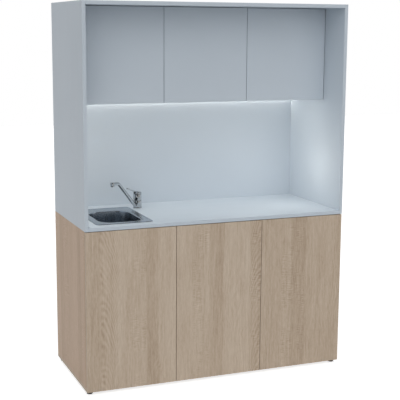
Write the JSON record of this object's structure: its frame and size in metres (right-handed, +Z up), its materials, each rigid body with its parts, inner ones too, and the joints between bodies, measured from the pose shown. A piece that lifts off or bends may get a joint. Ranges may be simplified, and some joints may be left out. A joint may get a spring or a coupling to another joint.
{
  "type": "kitchenette unit",
  "caption": "Free-standing kitchenette: oak-decor base with doors, white worktop with inset steel sink and lever tap, lit niche, wall cabinet with doors.",
  "frame": {"origin": "middle of the footprint on the floor, under the feet", "axes": "+X to the right seen from the front, +Y from the door fronts to the back, +Z up"},
  "size_m": [1.5, 0.64, 2.045],
  "materials": {
    "oak_decor": "grey-beige oak decor with vertical planks",
    "white_board": "matt white melamine",
    "worktop_white": "matt white laminate",
    "sink_steel": "brushed",
    "nickel_steel": "nickel plated",
    "chrome": "polished",
    "seal_rubber": "matt",
    "foot_plastic": "matt black",
    "latch_plastic": "matt light grey",
    "pipe_plastic": "white",
    "anodised": "anodised",
    "led_board": "matt",
    "led_opal": "opal"
  },
  "bodies": {
    "carcass": {"base_bottom": "oak_decor", "base_side_left": "oak_decor", "base_side_right": "oak_decor", "base_divider_left": "white_board", "base_divider_right": "white_board", "base_back": "white_board", "base_rails": "white_board", "base_shelves": "white_board", "shelf_pins": "nickel_steel", "back_screws": "nickel_steel", "worktop": "worktop_white", "upper_side_left": "white_board", "upper_side_right": "white_board", "top_panel": "white_board", "niche_back": "white_board", "wall_bottom": "white_board", "wall_divider_left": "white_board", "wall_divider_right": "white_board", "wall_shelves": "white_board", "led_profile": "anodised", "led_strip": "led_board", "led_diffuser": "led_opal", "hinge_arms": "nickel_steel", "door_buffers": "seal_rubber", "latch_housings": "latch_plastic", "sink": "sink_steel", "sink_seal": "seal_rubber", "sink_clips": "sink_steel", "waste_body": "chrome", "overflow_pipe": "pipe_plastic", "trap_body": "pipe_plastic", "trap_nuts": "pipe_plastic", "waste_pipe": "pipe_plastic", "tap_column": "chrome", "tap_nut": "nickel_steel", "foot_sockets": "foot_plastic"},
    "base_left_door": {"base_door_left": "oak_decor", "base_fittings_left": "nickel_steel"},
    "base_middle_door": {"base_door_middle": "oak_decor", "base_fittings_middle": "nickel_steel"},
    "base_right_door": {"base_door_right": "oak_decor", "base_fittings_right": "nickel_steel"},
    "wall_left_door": {"wall_door_left": "white_board", "wall_fittings_left": "nickel_steel"},
    "wall_middle_door": {"wall_door_middle": "white_board", "wall_fittings_middle": "nickel_steel"},
    "wall_right_door": {"wall_door_right": "white_board", "wall_fittings_right": "nickel_steel"},
    "latch_plunger_left": {"plunger_left": "latch_plastic"},
    "latch_plunger_middle": {"plunger_middle": "latch_plastic"},
    "latch_plunger_right": {"plunger_right": "latch_plastic"},
    "tap_spout": {"spout": "chrome", "aerator": "chrome"},
    "tap_cap": {"lever_hub": "chrome"},
    "tap_lever": {"lever": "chrome"},
    "sink_strainer": {"strainer": "sink_steel"},
    "foot_front_left": {"foot_front_left": "foot_plastic"},
    "foot_front_right": {"foot_front_right": "foot_plastic"},
    "foot_back_left": {"foot_back_left": "foot_plastic"},
    "foot_back_right": {"foot_back_right": "foot_plastic"}
  },
  "joints": [
    {"name": "base_left_door_hinge", "type": "hinge", "parent": "carcass", "child": "base_left_door", "pos_m": [-0.7425, -0.315, 0.448], "axis": [0, 0, -1], "range_deg": [0, 100]},
    {"name": "base_middle_door_hinge", "type": "hinge", "parent": "carcass", "child": "base_middle_door", "pos_m": [-0.2425, -0.315, 0.448], "axis": [0, 0, -1], "range_deg": [0, 90]},
    {"name": "base_right_door_hinge", "type": "hinge", "parent": "carcass", "child": "base_right_door", "pos_m": [0.7425, -0.315, 0.448], "axis": [0, 0, 1], "range_deg": [0, 100]},
    {"name": "wall_left_door_hinge", "type": "hinge", "parent": "carcass", "child": "wall_left_door", "pos_m": [-0.722, -0.099, 1.768], "axis": [0, 0, -1], "range_deg": [0, 90]},
    {"name": "wall_middle_door_hinge", "type": "hinge", "parent": "carcass", "child": "wall_middle_door", "pos_m": [-0.23567, -0.099, 1.768], "axis": [0, 0, -1], "range_deg": [0, 90]},
    {"name": "wall_right_door_hinge", "type": "hinge", "parent": "carcass", "child": "wall_right_door", "pos_m": [0.722, -0.099, 1.768], "axis": [0, 0, 1], "range_deg": [0, 90]},
    {"name": "latch_press_left", "type": "slide", "parent": "carcass", "child": "latch_plunger_left", "axis": [0, 1, 0], "range_m": [0, 0.002], "stiffness_N_per_m": 400},
    {"name": "latch_press_middle", "type": "slide", "parent": "carcass", "child": "latch_plunger_middle", "axis": [0, 1, 0], "range_m": [0, 0.002], "stiffness_N_per_m": 400},
    {"name": "latch_press_right", "type": "slide", "parent": "carcass", "child": "latch_plunger_right", "axis": [0, 1, 0], "range_m": [0, 0.002], "stiffness_N_per_m": 400},
    {"name": "spout_swivel", "type": "hinge", "parent": "carcass", "child": "tap_spout", "pos_m": [-0.31, 0.16, 0.925], "axis": [0, 0, 1], "range_deg": [-60, 110]},
    {"name": "lever_turn", "type": "hinge", "parent": "carcass", "child": "tap_cap", "pos_m": [-0.31, 0.16, 0.985], "axis": [0, 0, 1], "range_deg": [-50, 50]},
    {"name": "lever_lift", "type": "hinge", "parent": "tap_cap", "child": "tap_lever", "pos_m": [-0.31177, 0.15906, 0.9873], "axis": [-0.4695, 0.8829, 0], "range_deg": [0, 25]},
    {"name": "strainer_lift", "type": "slide", "parent": "carcass", "child": "sink_strainer", "axis": [0, 0, 1], "range_m": [0, 0.06]},
    {"name": "foot_screw_front_left", "type": "slide", "parent": "carcass", "child": "foot_front_left", "axis": [0, 0, -1], "range_m": [0, 0.01]},
    {"name": "foot_screw_front_right", "type": "slide", "parent": "carcass", "child": "foot_front_right", "axis": [0, 0, -1], "range_m": [0, 0.01]},
    {"name": "foot_screw_back_left", "type": "slide", "parent": "carcass", "child": "foot_back_left", "axis": [0, 0, -1], "range_m": [0, 0.01]},
    {"name": "foot_screw_back_right", "type": "slide", "parent": "carcass", "child": "foot_back_right", "axis": [0, 0, -1], "range_m": [0, 0.01]}
  ]
}
